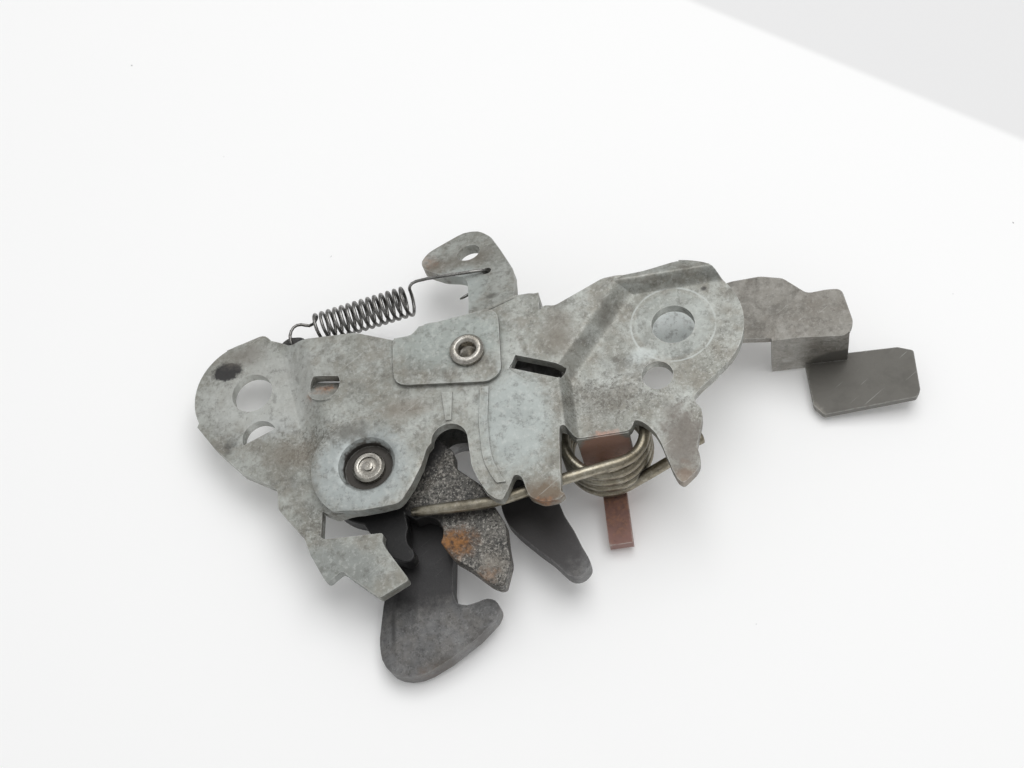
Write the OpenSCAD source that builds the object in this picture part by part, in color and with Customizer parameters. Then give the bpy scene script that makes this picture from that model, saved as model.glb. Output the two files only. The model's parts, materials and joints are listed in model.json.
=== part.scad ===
// Bonnet latch: a stamped base plate with a striker slot, a rotary claw, a release lever,
// a safety hook with its finger lever, and the springs and rivets that hold them.
// Frame: X across the car, Z up (the way the striker leaves), Y from the plate to the mechanism.
// The origin lies midway between the two mounting holes, on the back face of the wings.

/* [Mounting] */
// Distance between the two mounting holes, mm
mount_span = 111.6; // [104:0.2:124]
// Radius of the mounting holes, mm
mount_hole_r = 5.5; // [4.5:0.1:6.5]
// Radius of the rounded wing ends, mm
wing_r = 17.8; // [15:0.1:19]

/* [Base plate] */
// Thickness of the stamped sheet, mm
sheet = 3; // [2.4:0.1:3.4]
// How far the middle of the plate stands in front of the wings, mm
joggle = 4; // [3:0.1:5]
// Angle of the neck that carries the spring, degrees
neck_angle = 20; // [12:1:24]

/* [Striker slot] */
// Middle of the striker slot across the plate, mm
slot_x = 3; // [1:0.1:5]
// Height of the centre of the slot's round end, mm
slot_z = 24.9; // [23.5:0.1:26]
// Half the width of the slot, mm
slot_r = 4.6; // [4:0.1:5]

/* [Claw] */
// Claw pivot to the right of the slot, mm
claw_dx = 21.2; // [20.5:0.1:22.5]
// Claw pivot above the slot's round end, mm
claw_dz = 3.1; // [2.5:0.1:4]
// Thickness of the claw and of the release lever, mm
claw_t = 5; // [4:0.1:5.5]
// Radius of the claw rivet, mm
claw_pin_r = 3.6; // [3:0.1:4.2]

/* [Levers] */
// Lever pivot to the left of the slot, mm
lever_dx = 6.4; // [5.5:0.1:7]
// Lever pivot below the slot's round end, mm
lever_dz = 23.7; // [23:0.1:25]
// Thickness of the safety hook, mm
hook_t = 5; // [4:0.1:6]
// Thickness of the finger lever's sheet, mm
lever_sheet = 2; // [1.5:0.1:2.5]
// Radius of the lever rivet, mm
lever_pin_r = 3.2; // [2.6:0.1:3.6]

/* [Springs] */
// Wire of the pop-up spring, mm
popup_wire = 3.1; // [2.6:0.1:3.4]
// Outside diameter of the pop-up spring, mm
popup_od = 24; // [22:0.5:25]
// Turns of the pop-up spring
popup_turns = 4; // [3:1:5]
// Wire of the release spring, mm
release_wire = 1; // [0.8:0.1:1.2]
// Outside diameter of the release spring, mm
release_od = 9; // [7:0.5:9.5]
// Turns of the release spring
release_turns = 14; // [10:1:15]

/* [Hidden] */
$fn = 64;
// running clearance between a rivet and what turns on it
run_fit = 0.05;
// gap between faces that slide past each other
slide = 0.2;
// room on each side of a spring leg that passes between two sheets
leg_room = 0.25;
// overlap that joins two solids of the same piece
weld = 0.4;

hole_x = mount_span / 2;
claw_x = slot_x + claw_dx;
claw_z = slot_z + claw_dz;
lever_x = slot_x - lever_dx;
lever_z = slot_z - lever_dz;

// depths along Y, from the front of the plate to the back of the latch
wing_front = -sheet;
plate_front = -joggle - sheet;
plate_back = plate_front + sheet;
pad_rise = 1.2;
pad_front = plate_front - pad_rise;
pad_back = plate_back - pad_rise;
dimple_depth = 2.9;
dimple_floor = plate_front + dimple_depth;
dimple_back = dimple_floor + sheet;
leg_y = plate_back + leg_room + popup_wire / 2;
claw_front = max(leg_y + popup_wire / 2 + leg_room, 2 * slide, dimple_back + 1);
claw_back = claw_front + claw_t;
retainer_t = 0.7;
rivet_tail = 1.2;
claw_rivet_end = claw_back + slide / 2 + retainer_t + rivet_tail;
hook_front = claw_rivet_end + 1.5 * slide;
hook_back = hook_front + hook_t;
finger_back = hook_back + lever_sheet;
pivot_washer_t = 1;
lever_rivet_end = finger_back + slide + pivot_washer_t + 1.7;

// pop-up spring: its leg crosses the slot, bends and reaches the coil behind the left cheek
coil_r = (popup_od - popup_wire) / 2;
coil_x = slot_x - 37.4;
coil_z = slot_z - 0.1;
leg_end = from_slot(12.2, 15.6);
leg_bend = from_slot(-8.7, 16.3);
bend_reach = norm(leg_bend - [coil_x, coil_z]);
start_angle = atan2(leg_bend[1] - coil_z, leg_bend[0] - coil_x) + acos(coil_r / bend_reach);
// the first part of a turn steps back from the leg to behind the wing's sheet
step_turn = 40;
coil_entry = leg_y + 1.6;
coil_front = leg_room + popup_wire / 2;
coil_pitch = popup_wire + 0.4;
// the second leg runs behind the finger and ends just past its edge
tail_y = popup_wire / 2 + 0.4;
tail_end = from_coil(-24.4, 5.6);
tail_bend = from_coil(-17.6, 7);
tail_reach = norm(tail_bend - [coil_x, coil_z]);
leave_angle = atan2(tail_bend[1] - coil_z, tail_bend[0] - coil_x) - acos(coil_r / tail_reach);
popup_sweep = popup_turns * 360 + leave_angle - start_angle;
coil_back = coil_front + coil_pitch * (popup_sweep - step_turn) / 360;
// the tongue runs through the middle of the coil's bore
coil_bore_r = coil_r - popup_wire / 2;
tongue_w = 1.45 * coil_bore_r;
tongue_top = coil_z + 3.4;
strip_front = coil_back + popup_wire / 2 + 0.5;
strip_rise = 20.6;

// release spring
neck_hole = [lever_x - 5.4, lever_z - 28.6];
arm_end = [lever_x + 49.4, lever_z - 14.8];

// one name for each separate piece

zinc = [0.62, 0.65, 0.64];
dark = [0.22, 0.22, 0.23];
nickel = [0.78, 0.77, 0.74];
wire = [0.66, 0.63, 0.55];

// stands a flat shape up in the XZ plane, from y0 to y0 + t
module upright(y0, t) {
    translate([0, y0 + t, 0])
        rotate([90, 0, 0])
            linear_extrude(t)
                children();
}

// round bar along Y
module along_y(x, z, y0, y1, r) {
    translate([x, y1, z])
        rotate([90, 0, 0])
            cylinder(r = r, h = y1 - y0);
}

// ring along Y
module ring_y(x, z, y0, y1, r_out, r_in) {
    translate([x, y1, z])
        rotate([90, 0, 0])
            linear_extrude(y1 - y0)
                difference() {
                    circle(r = r_out);
                    circle(r = r_in);
                }
}

// corner p between a and b, eased by a curve that starts where an arc of radius r would
function corner(a, p, b, r) =
    let (u = a - p, v = b - p)
    let (turn = 180 - acos(max(-1, min(1, u * v / (norm(u) * norm(v))))))
    let (cut = min(r * tan(turn / 2), 0.45 * norm(u), 0.45 * norm(v)))
    let (p0 = p + cut * u / norm(u), p1 = p + cut * v / norm(v))
    let (steps = ceil(turn / 24))
    turn < 6 ? [p] : [for (k = [0 : steps])
        let (t = k / steps)
        (1 - t) * (1 - t) * p0 + 2 * t * (1 - t) * p + t * t * p1];

// path with its inner corners eased
function eased(path, r) =
    let (m = len(path) - 1)
    concat([path[0]],
           [for (i = [1 : m - 1]) each corner(path[i - 1], path[i], path[i + 1], r)],
           [path[m]]);

// closed outline with all its corners eased
function rounded(points, r) =
    let (n = len(points))
    [for (i = [0 : n - 1]) each corner(points[(i + n - 1) % n], points[i], points[(i + 1) % n], r)];

// points of the plate's edge, measured from the slot, the holes, the pivots and the coil
function from_slot(x, z) = [slot_x + x, slot_z + z];
function from_right(x, z) = [hole_x + x, z];
function from_left(x, z) = [x - hole_x, z];
function from_claw(x, z) = [claw_x + x, claw_z + z];
function from_lever(x, z) = [lever_x + x, lever_z + z];
function from_coil(x, z) = [coil_x + x, coil_z + z];

// lower edge of the plate, from the right wing to the left wing
lower_edge = [
    from_right(7.2, -14.4), from_right(-3.2, -17.4), from_right(-6.1, -14),
    from_right(-11.6, -11.6), from_slot(23.2, -35.6), from_slot(12.5, -31.1),
    from_slot(8, -31.2), from_slot(4.6, -34.8), from_slot(-7.1, -34.7),
    from_slot(-19.4, -38.8), from_slot(-24.4, -38.7), from_slot(-25.9, -37.2),
    from_slot(-25.7, -32.9), from_slot(-27, -34.4),
    from_slot(-29.7, -33.7), from_left(16, -14.6), from_left(5.3, -15.2), from_left(-5, -17.4)
];
// finger beside the pop-up spring, with a notch above its rounded tip
finger_edge = [
    from_left(-9.7, 15.2), from_left(-4.1, 19.3), from_coil(-23.1, -3.1),
    from_coil(-25, 0.3), from_coil(-24.7, 3), from_coil(-23.3, 7.2), from_coil(-22.3, 10.3),
    from_coil(-22.7, 12.2), from_coil(-22.5, 14.6), from_coil(-21.4, 16.3), from_coil(-18.9, 18.3),
    from_coil(-17.8, 19), from_coil(-16.6, 17.9), from_coil(-15.7, 15.2), from_coil(-14.6, 10.5),
    from_coil(-14, 7.7), from_coil(-13, 4.8), from_coil(-11.3, 2.3), from_coil(-9.8, 0.9)
];
// left cheek of the slot, with the relief on both sides of the tongue
left_cheek = [
    from_coil(-8.4, 0.4), [coil_x - tongue_w / 2 - 0.6, tongue_top - 0.3],
    [coil_x + tongue_w / 2 + 0.4, tongue_top - 0.3], from_coil(8.6, 0.6), from_coil(9.8, 0.9),
    from_slot(-27.2, 4.1), from_slot(-26.2, 18.2), from_slot(-27.2, 18.7), from_slot(-25.7, 20),
    from_slot(-21.8, 20.2), from_slot(-18.5, 18.3), from_slot(-17.8, 15.6), from_slot(-17.1, 12.6),
    from_slot(-15.4, 11.8), from_slot(-13.6, 15.4), from_slot(-12, 18.1), from_slot(-10.3, 17.5),
    from_slot(-8.5, 15.7), from_slot(-6.5, 11.9), from_slot(-5.1, 7.9), from_slot(-slot_r, 0)
];
// right cheek of the slot, around the claw's rivet
right_cheek = [
    from_slot(slot_r, 0), from_slot(5.9, 1.4), from_slot(7.4, 5.8), from_slot(9.9, 10.5),
    from_slot(12.6, 14.1), from_slot(13.9, 15), from_slot(17.6, 15.4), from_slot(22.9, 15.6),
    from_right(-22.3, 39.3), from_right(-19.5, 37.6)
];
// strip on the right wing that carries the guard tab
right_edge = [
    from_right(-18.8, 37), from_right(-18.2, 46), from_right(-12.6, 41.8), from_right(-7.4, 34.8),
    from_right(-7.1, 28.9), from_right(2, 23.5), from_right(9.7, 15.1), from_right(14.9, 7.7)
];

// radius that eases the corners of the stamped sheet
edge_r = 2.5;

module plate_outline() {
    difference() {
        union() {
            polygon(concat(eased(concat(lower_edge, finger_edge, left_cheek), edge_r),
                           eased(concat(right_cheek, right_edge), edge_r)));
            translate([hole_x, 0])
                circle(r = wing_r - 1.9);
            // the left wing's end keeps its radius up to its flanged edge
            difference() {
                translate([-hole_x, 0])
                    circle(r = wing_r);
                translate([-hole_x - 4, -2 * wing_r])
                    square(2 * wing_r);
            }
        }
        translate([slot_x, slot_z])
            circle(r = slot_r);
    }
}

// block behind one soft step of the sheet: from the wing's depth up to the middle's depth,
// then falling back with the slope fall
module step_block(at, turn, half, fall, back) {
    lean = back * tan(atan(PI / 4 * joggle / half) / 2);
    rise = [for (k = [0 : 6]) [half * (k / 3 - 1), wing_front - joggle * (1 - cos(30 * k)) / 2]];
    translate([at[0], back, at[1]])
        rotate([0, turn, 0])
            translate([lean, 0, -120])
                linear_extrude(240)
                    polygon(concat(
                        [[-150, 90], [-150, wing_front]], rise,
                        [[150, plate_front + fall * (150 - half)], [150, 90]]
                    ));
}

// the middle of the plate stands in front of both wings; the step beside the left wing follows
// the coil, then slants across the wing and ends along the wing's flanged edge
module stepped(back) {
    intersection() {
        union() {
            step_block(from_coil(7.3, 0), 0, 1.8, 0, back);
            step_block(from_left(19.2, -1.7), 39, 3.2, 0, back);
            step_block(from_left(0, -11.9), 90, 1.7, 0.45, back);
        }
        step_block(from_right(-14.8, 0), 167, 4.4, 0, back);
    }
}

module stepped_sheet() {
    difference() {
        stepped(0);
        stepped(sheet);
    }
}

neck_a = from_lever(-0.8, -11);
neck_b = from_lever(-13, -15);

module neck_flat() {
    difference() {
        polygon(eased([
            from_lever(-0.8, -10.2), from_lever(-0.6, -18), from_lever(0, -28.1),
            from_lever(6.9, -31.2), from_lever(12.7, -36.1), from_lever(14, -39.8),
            from_lever(11.9, -43.6), from_lever(6.9, -46.2), from_lever(1.7, -48.8),
            from_lever(-2.8, -47.9), from_lever(-6.4, -43.6), from_lever(-9.3, -36.4),
            from_lever(-13, -26.1), from_lever(-13.3, -19.5), from_lever(-13, -14.2)
        ], 5));
        translate(from_lever(0, -38.8))
            circle(r = 3.3);
        translate(neck_hole)
            circle(r = release_wire / 2 + 0.8);
    }
}

// neck bent back about the line between its two corners
module neck() {
    axis = [neck_b[0] - neck_a[0], 0, neck_b[1] - neck_a[1]];
    translate([neck_a[0], plate_front, neck_a[1]])
        rotate(a = -neck_angle, v = axis)
            translate([-neck_a[0], -plate_front, -neck_a[1]])
                upright(plate_front, sheet)
                    neck_flat();
}

module pad_shape() {
    polygon(rounded([
        from_lever(19.4, -9), from_lever(19.6, 6.4), from_lever(-5, 9.6), from_lever(-8.2, 7.4),
        from_lever(-8.8, -12)
    ], 4));
}

// pierced louvre beside the claw: a round-sided flap pressed back below a straight cut
louvre = from_slot(31.4, -24);
louvre_r = 4.1;
louvre_slope = 30;

module louvre_space(r, y0, y1) {
    translate([louvre[0], 0, louvre[1]])
        rotate([0, 10, 0])
            intersection() {
                along_y(0, 2.4, -30, 30, r);
                translate([0, plate_front, 2.4 + louvre_r])
                    rotate([louvre_slope, 0, 0])
                        translate([-20, y0, -20])
                            cube([40, y1 - y0, 40]);
                translate([-20, -30, 0])
                    cube([40, 60, 20]);
            }
}

// lug that holds the safety spring
lug_x = slot_x - 25.9;
lug_z = slot_z - 38.7;
lug_w = 6.2;

// bead along the left cheek
bead_rise = 0.5;
bead_w = 2.2;
bead_line = [
    from_slot(-9.9, -13.2), from_slot(-8.9, -3.8), from_slot(-9, 4.8), from_slot(-10, 10),
    from_slot(-12.1, 13.6)
];

module base_plate() {
    color(zinc)
        difference() {
            union() {
                intersection() {
                    upright(-30, 60)
                        plate_outline();
                    stepped_sheet();
                }
                // cup that seats the claw's rivet
                along_y(claw_x, claw_z, plate_front + 1, dimple_back, 9.2);
                // raised ring with sloped sides around the cup
                intersection() {
                    translate([claw_x, plate_front, claw_z])
                        rotate([90, 0, 0])
                            rotate_extrude()
                                polygon([[7, -1], [7, 0.2], [8.6, 0.7], [12.6, 0.7], [14.4, 0], [14.4, -1]]);
                    upright(-30, 60)
                        plate_outline();
                }
                // raised pad around the lever's rivet
                intersection() {
                    upright(pad_front, pad_rise + weld)
                        pad_shape();
                    upright(-30, 60)
                        plate_outline();
                }
                neck();
                louvre_space(louvre_r + 0.8, 0, 2);
                // guard tab in the plane of the right wing
                upright(wing_front, sheet)
                    polygon(rounded([
                        from_right(-18.8, 44.5), from_right(-34.2, 45.2), from_right(-33.8, 47.3),
                        from_right(-34.5, 49.2), from_right(-39.7, 57.6), from_right(-39.7, 58.4),
                        from_right(-32.8, 61.7), from_right(-31.6, 60.8), from_right(-25.2, 55.2),
                        from_right(-23.5, 53.4), from_right(-19.6, 56.2), from_right(-15.6, 48.2),
                        from_right(-13.4, 41.5), from_right(-17, 41.5)
                    ], 1.2));
                // lug bent back from the lower edge, which holds the safety spring
                translate([lug_x, plate_front + weld, lug_z])
                    cube([lug_w, hook_front + 0.4 - plate_front - weld, sheet]);
                // tongue through the pop-up spring, and the strip that keeps the spring on it
                translate([coil_x - tongue_w / 2, wing_front + weld, tongue_top - sheet])
                    cube([tongue_w, strip_front + sheet - wing_front - weld, sheet]);
                translate([coil_x - 3, strip_front, tongue_top - sheet])
                    cube([6.1, sheet, strip_rise + sheet]);
                // bead pressed along the left cheek
                upright(plate_front - bead_rise, bead_rise + weld)
                    polygon(concat(
                        eased([for (q = bead_line) q + [bead_w / 2, 0]], 12),
                        eased([for (i = [len(bead_line) - 1 : -1 : 0]) bead_line[i] - [bead_w / 2, 0]], 12)
                    ));
                // short ridge above the slot
                upright(plate_front - bead_rise, bead_rise + weld)
                    polygon([
                        from_slot(1.2, -13.6), from_slot(-1.6, -13.2), from_slot(-0.9, -5.4),
                        from_slot(0.5, -5.4)
                    ]);
            }
            // mounting holes
            along_y(hole_x, 0, -30, 30, mount_hole_r);
            along_y(-hole_x, 0, -30, 30, mount_hole_r);
            // locating hole below the left mounting hole
            along_y(5.8 - hole_x, 13.8, -30, 3, 3.9);
            // half-moon hole on the right wing
            intersection() {
                along_y(hole_x - 2.2, 13.4, -30, 3, 4.6);
                translate([hole_x - 2.2, 0, 13.4])
                    rotate([0, -22, 0])
                        translate([-10, -40, -12])
                            cube([20, 80, 12]);
            }
            louvre_space(louvre_r, -20, 0);
            // window over the release lever, with a shallow relief below it
            upright(-30, 30)
                polygon([
                    from_slot(-18.4, -21.1), from_slot(-30.8, -15.9),
                    from_slot(-29.2, -12.7), from_slot(-16.9, -17.9)
                ]);
            upright(plate_front - 4, 4.7)
                polygon(rounded([
                    from_slot(-17.6, -19.4), from_slot(-16.2, -17.4), from_slot(-21.6, -12.6),
                    from_slot(-27.2, -11.4), from_slot(-30.2, -14.2)
                ], 4));
            // back of the raised pad
            upright(pad_back, pad_rise + 0.01)
                polygon([
                    from_lever(15, -7.2), from_lever(17, 5.6), from_lever(-4.6, 7.6),
                    from_lever(-7, 6), from_lever(-7.4, -8)
                ]);
            // inside of the cup, and the rivet's hole
            along_y(claw_x, claw_z, -30, dimple_floor, 6.4);
            translate([claw_x, plate_front + 1, claw_z])
                rotate([90, 0, 0])
                    cylinder(r1 = 6.4, r2 = 7.4, h = 1.4);
            along_y(claw_x, claw_z, -30, 30, claw_pin_r);
            // hole of the lever's rivet
            along_y(lever_x, lever_z, -30, 2, lever_pin_r);
        }
}

claw_seat = norm([claw_dx, claw_dz]);
claw_open = 64;
seat_angle = 180 + atan(claw_dz / claw_dx) - claw_open;

// lower prong, which the striker pushes down
module lower_prong() {
    polygon(rounded([
        [-4, -11], [-15, -9.5], [-20.7, -3.6], [-20.4, 0.6], [-23.3, 3.3], [-26.9, 6.6],
        [-32.3, 18], [-32.4, 23], [-32.8, 27.9], [-30.8, 33.7], [-29.6, 33.8],
        [-27.5, 32.7], [-22.2, 27.6], [-18.9, 25.1], [-13.4, 16.3], [-5, 9.6], [0, 4]
    ], 3));
}

// upper prong, which closes over the striker
module upper_prong() {
    polygon(rounded([[6, 3], [claw_seat, -4], [24.6, -5.4], [24.4, -7.8], [19, -10.6], [6, -9.6]], 2));
}

module claw() {
    color(dark)
        translate([claw_x, 0, claw_z])
            difference() {
                union() {
                    along_y(0, 0, claw_front, claw_back, 13);
                    upright(claw_front, claw_t)
                        lower_prong();
                    upright(claw_front, claw_t)
                        rotate(seat_angle)
                            upper_prong();
                }
                // seat of the striker
                rotate([0, -seat_angle, 0])
                    along_y(claw_seat, 0, claw_front - 1, claw_back + 1, slot_r);
                along_y(0, 0, claw_front - 1, claw_back + 1, claw_pin_r + run_fit);
            }
}

// rivet head that stands in front of y0, with a sloped shoulder
module rivet_head(x, z, y0, r, h, shoulder) {
    along_y(x, z, y0 - h + shoulder, y0, r);
    translate([x, y0 - h + shoulder + 0.01, z])
        rotate([90, 0, 0])
            cylinder(r1 = r, r2 = r - shoulder, h = shoulder + 0.01);
}

module claw_rivet() {
    color(nickel)
        difference() {
            union() {
                rivet_head(claw_x, claw_z, dimple_floor, 4.1, 2, 0.6);
                along_y(claw_x, claw_z, dimple_floor - 0.1, claw_rivet_end, claw_pin_r);
                along_y(claw_x, claw_z, claw_rivet_end - rivet_tail, claw_rivet_end, 5.6);
            }
            // ring around the middle of the head
            translate([claw_x, 0, claw_z])
                ring_y(0, 0, dimple_floor - 3, dimple_floor - 1.3, 2.5, 1.2);
        }
}

module claw_washer() {
    color(nickel)
        ring_y(claw_x, claw_z, dimple_back, claw_front - slide / 2, 8, claw_pin_r + run_fit);
}

module claw_retainer() {
    color(nickel)
        ring_y(claw_x, claw_z, claw_back + slide / 2, claw_rivet_end - rivet_tail, 7, claw_pin_r + run_fit);
}

module release_lever() {
    color(dark)
        translate([lever_x, 0, lever_z])
            difference() {
                union() {
                    along_y(0, 0, claw_front, claw_back, 5.4);
                    // arm with the nose that catches the claw
                    upright(claw_front, claw_t)
                        polygon(rounded([
                            [1, -4.4], [1, 2.6], [-15.6, 2.6], [-16.9, 14.2], [-20.5, 14.6],
                            [-22.6, 8], [-22.3, -1], [-18, -4.4]
                        ], 1.5));
                    // arm that the release spring pulls
                    upright(claw_front, claw_t)
                        polygon(rounded([
                            [-1, 5], [8, 2.4], [30, -4.4], [49.6, -10.4], [53, -12.6], [53.2, -16.4],
                            [50.6, -18.6], [46.4, -18.2], [43.6, -14.4],
                            [25, -11], [4, -5], [-1, -5]
                        ], 3));
                }
                along_y(0, 0, claw_front - 1, claw_back + 1, lever_pin_r + run_fit);
                translate([arm_end[0] - lever_x, 0, arm_end[1] - lever_z])
                    along_y(0, 0, claw_front - 1, claw_back + 1, release_wire / 2 + 0.8);
            }
}

module lever_rivet() {
    color(nickel)
        difference() {
            union() {
                rivet_head(lever_x, lever_z, pad_front, 4.4, 1.9, 0.7);
                along_y(lever_x, lever_z, pad_front - 0.1, lever_rivet_end, lever_pin_r);
                along_y(lever_x, lever_z, lever_rivet_end - 1.7, lever_rivet_end, 5.4);
            }
            along_y(lever_x, lever_z, pad_front - 3, pad_front + 1.2, 2.2);
            translate([lever_x, pad_front - 1.3, lever_z])
                rotate([90, 0, 0])
                    cylinder(r1 = 2.2, r2 = 3, h = 0.8);
            translate([lever_x, pad_front + 1.2 - 0.01, lever_z])
                rotate([-90, 0, 0])
                    cylinder(r1 = 2.2, r2 = 0.3, h = 1.6);
        }
}

module front_spacer() {
    color(nickel)
        ring_y(lever_x, lever_z, pad_back, claw_front - slide / 2, 6, lever_pin_r + run_fit);
}

module middle_spacer() {
    color(nickel)
        ring_y(lever_x, lever_z, claw_back + slide / 2, hook_front - slide / 2, 5.2, lever_pin_r + run_fit);
}

module pivot_washer() {
    color(nickel)
        ring_y(lever_x, lever_z, finger_back + slide / 2, lever_rivet_end - 1.7, 7, lever_pin_r + run_fit);
}

join_a = [-7.4, 12.2];
join_b = [11.6, 11.4];
join_r = 2.4;

module hook_shape() {
    difference() {
        union() {
            circle(r = 8.6);
            polygon(rounded([
                [0, -8], [5, -7], [9.4, -1.2], [17.4, 12.8], [23.4, 26.8], [25.4, 38.8], [26.9, 48.8],
                [28.9, 58.3], [30.2, 67], [29.7, 72], [27.2, 76], [23, 77.6], [18.8, 77.2],
                [12.6, 74.4], [5.2, 69.8], [0.4, 65.6], [-0.6, 63.2], [0.4, 61.2], [2.4, 60.4],
                [4.8, 61], [7.7, 61.6], [10.2, 60.6], [11, 58.2], [10.1, 47.8],
                [12.1, 38.8], [12.8, 28.8], [lever_dx + slot_r + 1.5, lever_dz],
                [lever_dx - slot_r - 1.5, lever_dz], [-2.6, 28.8], [-2.9, 37.5], [-3.8, 41.4],
                [-6.8, 45.3], [-11.1, 50], [-14.3, 53.1], [-16.6, 56], [-18, 57.7], [-19.8, 58.3],
                [-21.7, 57.8], [-23.4, 56.1], [-23.5, 54.4], [-22, 50.8], [-20.5, 46.4],
                [-18.5, 42], [-17, 36.4], [-16.2, 26.8], [-12.6, 12.8], [-8.4, 1]
            ], 8));
        }
        // room for the striker at the bottom of its travel
        translate([lever_dx, lever_dz])
            circle(r = slot_r + 1.5);
        circle(r = lever_pin_r + run_fit);
        translate(join_a)
            circle(r = join_r);
        translate(join_b)
            circle(r = join_r);
    }
}

// bevel coined along the outer edge of the hook
hook_bevel_w = 4;
hook_bevel_deep = 1.6;

module safety_hook() {
    color(dark)
        translate([lever_x, 0, lever_z])
            difference() {
                upright(hook_front, hook_t)
                    hook_shape();
                translate([29 - hook_bevel_w, hook_front, 60])
                    rotate([0, 8, 0])
                        rotate([0, 0, atan(hook_bevel_deep / hook_bevel_w)])
                            translate([0, -10, -34])
                                cube([14, 10, 52]);
            }
}

finger_reach = 15;

module finger_shape() {
    difference() {
        union() {
            circle(r = 9);
            polygon(rounded([
                [14, 8], [14.4, 14.6], [9, 15.4], [-4, 16], [-10.6, 15], [-16, 8], [-36.6, -2.4],
                [-70.3, -2.4],
                [-96.3, 1.4], [-98.6, -2.4], [-97.6, -13], [-93.4, -13.4], [-88.6, -13.2],
                [-83.2, -19.1], [-77.4, -20.8], [-70, -20.7], [-36.6, -15.2], [0, -8.2], [6, -6]
            ], 3));
        }
        circle(r = lever_pin_r + run_fit);
        translate(join_a)
            circle(r = join_r);
        translate(join_b)
            circle(r = join_r);
    }
}

module finger_lever() {
    color(zinc)
        translate([lever_x, 0, lever_z]) {
            upright(hook_back, lever_sheet)
                finger_shape();
            // flange that carries the finger tab backwards
            translate([-97.2, hook_back, -1.6])
                rotate([0, 3, 0])
                    cube([20, finger_reach + lever_sheet, lever_sheet]);
            upright(hook_back + finger_reach, lever_sheet)
                polygon(rounded([
                    [-85.9, -1.3], [-85.8, 12.4], [-88, 15.6], [-105.4, 14.8], [-112.2, 14.5],
                    [-113.6, 12.6], [-114.5, 0.7], [-110.6, -1], [-97.7, -1.6]
                ], 1));
        }
}

module joining_rivet(at) {
    along_y(at[0], at[1], hook_front, finger_back + 0.1, join_r);
    along_y(at[0], at[1], finger_back, finger_back + 1.5, 4);
}

module joining_rivets() {
    color(nickel)
        translate([lever_x, 0, lever_z]) {
            joining_rivet(join_a);
            joining_rivet(join_b);
        }
}

// direction of a wire at one of its points
function heading(path, i) =
    let (m = len(path) - 1)
    let (d = path[min(i + 1, m)] - path[max(i - 1, 0)])
    d / norm(d);

// part of a that lies across t
function across(a, t) =
    let (p = a - (a * t) * t)
    p / norm(p);

// sideways directions carried along a wire without twist
function carried(path, ref) = [
    for (i = 0, a = across(ref, heading(path, 0)); i < len(path);
         i = i + 1, a = across(a, heading(path, min(i, len(path) - 1))))
        a
];

// one cross-section of a bent wire
function section(p, t, a, r, n) =
    let (b = cross(a, t))
    [for (k = [0 : n - 1]) p + r * (cos(360 * k / n) * a + sin(360 * k / n) * b)];

// bent wire along a path; ref is any direction across its start
module bent_wire(path, ref, r, n) {
    m = len(path);
    side = carried(path, ref);
    points = [for (i = [0 : m - 1]) each section(path[i], heading(path, i), side[i], r, n)];
    walls = [for (i = [0 : m - 2]) for (k = [0 : n - 1])
        [i * n + k, i * n + (k + 1) % n, (i + 1) * n + (k + 1) % n, (i + 1) * n + k]];
    first = [for (k = [0 : n - 1]) n - 1 - k];
    last = [for (k = [0 : n - 1]) (m - 1) * n + k];
    polyhedron(points, concat([first], walls, [last]), convexity = 10);
}

popup_steps = 30 * popup_turns;

// depth of the pop-up spring's wire after turning by a degrees
function coil_depth(a) =
    a < step_turn ? coil_entry + (coil_front - coil_entry) * a / step_turn
                  : coil_front + coil_pitch * (a - step_turn) / 360;

module popup_spring() {
    coil = [for (i = [0 : popup_steps])
        let (a = popup_sweep * i / popup_steps)
        let (b = start_angle + a)
        [coil_x + coil_r * cos(b), coil_depth(a), coil_z + coil_r * sin(b)]];
    tip = [leg_end[0], leg_y, leg_end[1]];
    bend = [leg_bend[0], leg_y, leg_bend[1]];
    // the leg keeps in front of the claw's path up to here
    beside = bend + 0.56 * (coil[0] - bend);
    lead = eased([tip, bend, [beside[0], leg_y, beside[2]]], 14);
    tail = eased([
        coil[popup_steps], [tail_bend[0], coil_back - 8, tail_bend[1]],
        [tail_bend[0] - 3.6, tail_y, tail_bend[1] - 0.7], [tail_end[0], tail_y, tail_end[1]]
    ], 3);
    color(wire)
        bent_wire(concat(lead, coil, [for (i = [1 : len(tail) - 1]) tail[i]]), [0, 1, 0],
                  popup_wire / 2, 12);
}

// where the hole of the bent neck ends up
neck_dir = (neck_b - neck_a) / norm(neck_b - neck_a);
neck_down = [-neck_dir[1], neck_dir[0]];
hole_along = (neck_hole - neck_a) * neck_dir;
hole_across = (neck_hole - neck_a) * neck_down;
bent_hole = neck_a + hole_along * neck_dir + hole_across * cos(neck_angle) * neck_down;
bent_hole_y = plate_front + hole_across * sin(neck_angle);

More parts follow.
